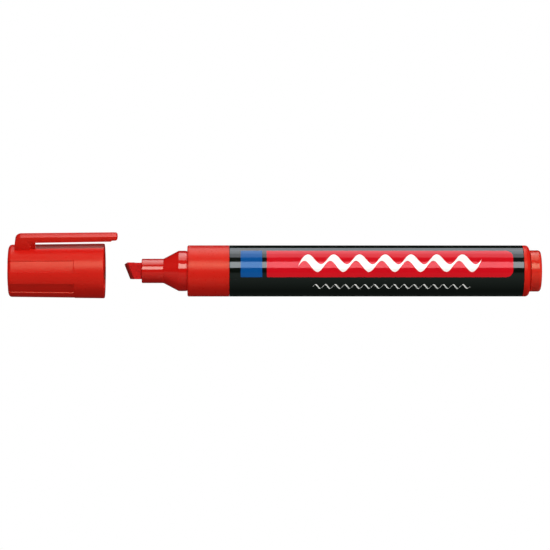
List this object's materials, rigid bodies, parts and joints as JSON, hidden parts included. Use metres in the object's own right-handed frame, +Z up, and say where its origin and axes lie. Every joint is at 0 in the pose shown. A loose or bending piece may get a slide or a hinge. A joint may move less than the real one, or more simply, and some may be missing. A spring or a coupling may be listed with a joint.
{
  "type": "felt tip marker",
  "caption": "Permanent felt tip marker with a slanted chisel nib, a round lacquered metal barrel and a fluted pull-off cap with a pocket clip, laid out with the cap off.",
  "frame": {"origin": "halfway along the laid-out pen and cap, midway across, on the surface that the cap's rim touches", "axes": "+X along the pen's axis from the cap's closed end to the pen's rear button, +Y away from the side that shows the nib's broad face, +Z up through the clip"},
  "size_m": [0.1622, 0.0166, 0.021],
  "materials": {
    "cap_red": "fine-grained satin",
    "seal_natural": "matte",
    "nib_felt": "pressed felt soaked with red ink",
    "nozzle_red": "gloss",
    "collar_red": "fine-grained satin",
    "barrel_black": "gloss",
    "ring_red": "satin",
    "plug_red": "satin",
    "core_fibre": "bundled fibre soaked with red ink",
    "film_clear": "thin film"
  },
  "bodies": {
    "pen": {"nib": "nib_felt", "nozzle": "nozzle_red", "collar": "collar_red", "barrel": "barrel_black", "end_ring": "ring_red", "end_plug": "plug_red", "ink_core": "core_fibre", "core_film": "film_clear"},
    "cap": {"cap_shell": "cap_red", "cap_seal": "seal_natural"},
    "clip": {"pocket_clip": "cap_red"}
  },
  "joints": [
    {"name": "cap_slide", "type": "slide", "parent": "pen", "child": "cap", "axis": [1, 0, 0], "range_m": [0, 0.02495]},
    {"name": "clip_flex", "type": "hinge", "parent": "cap", "child": "clip", "pos_m": [-0.07405, 0, 0.0198], "axis": [0, -1, 0], "range_deg": [0, 5], "stiffness_Nm_per_rad": 0.9}
  ]
}
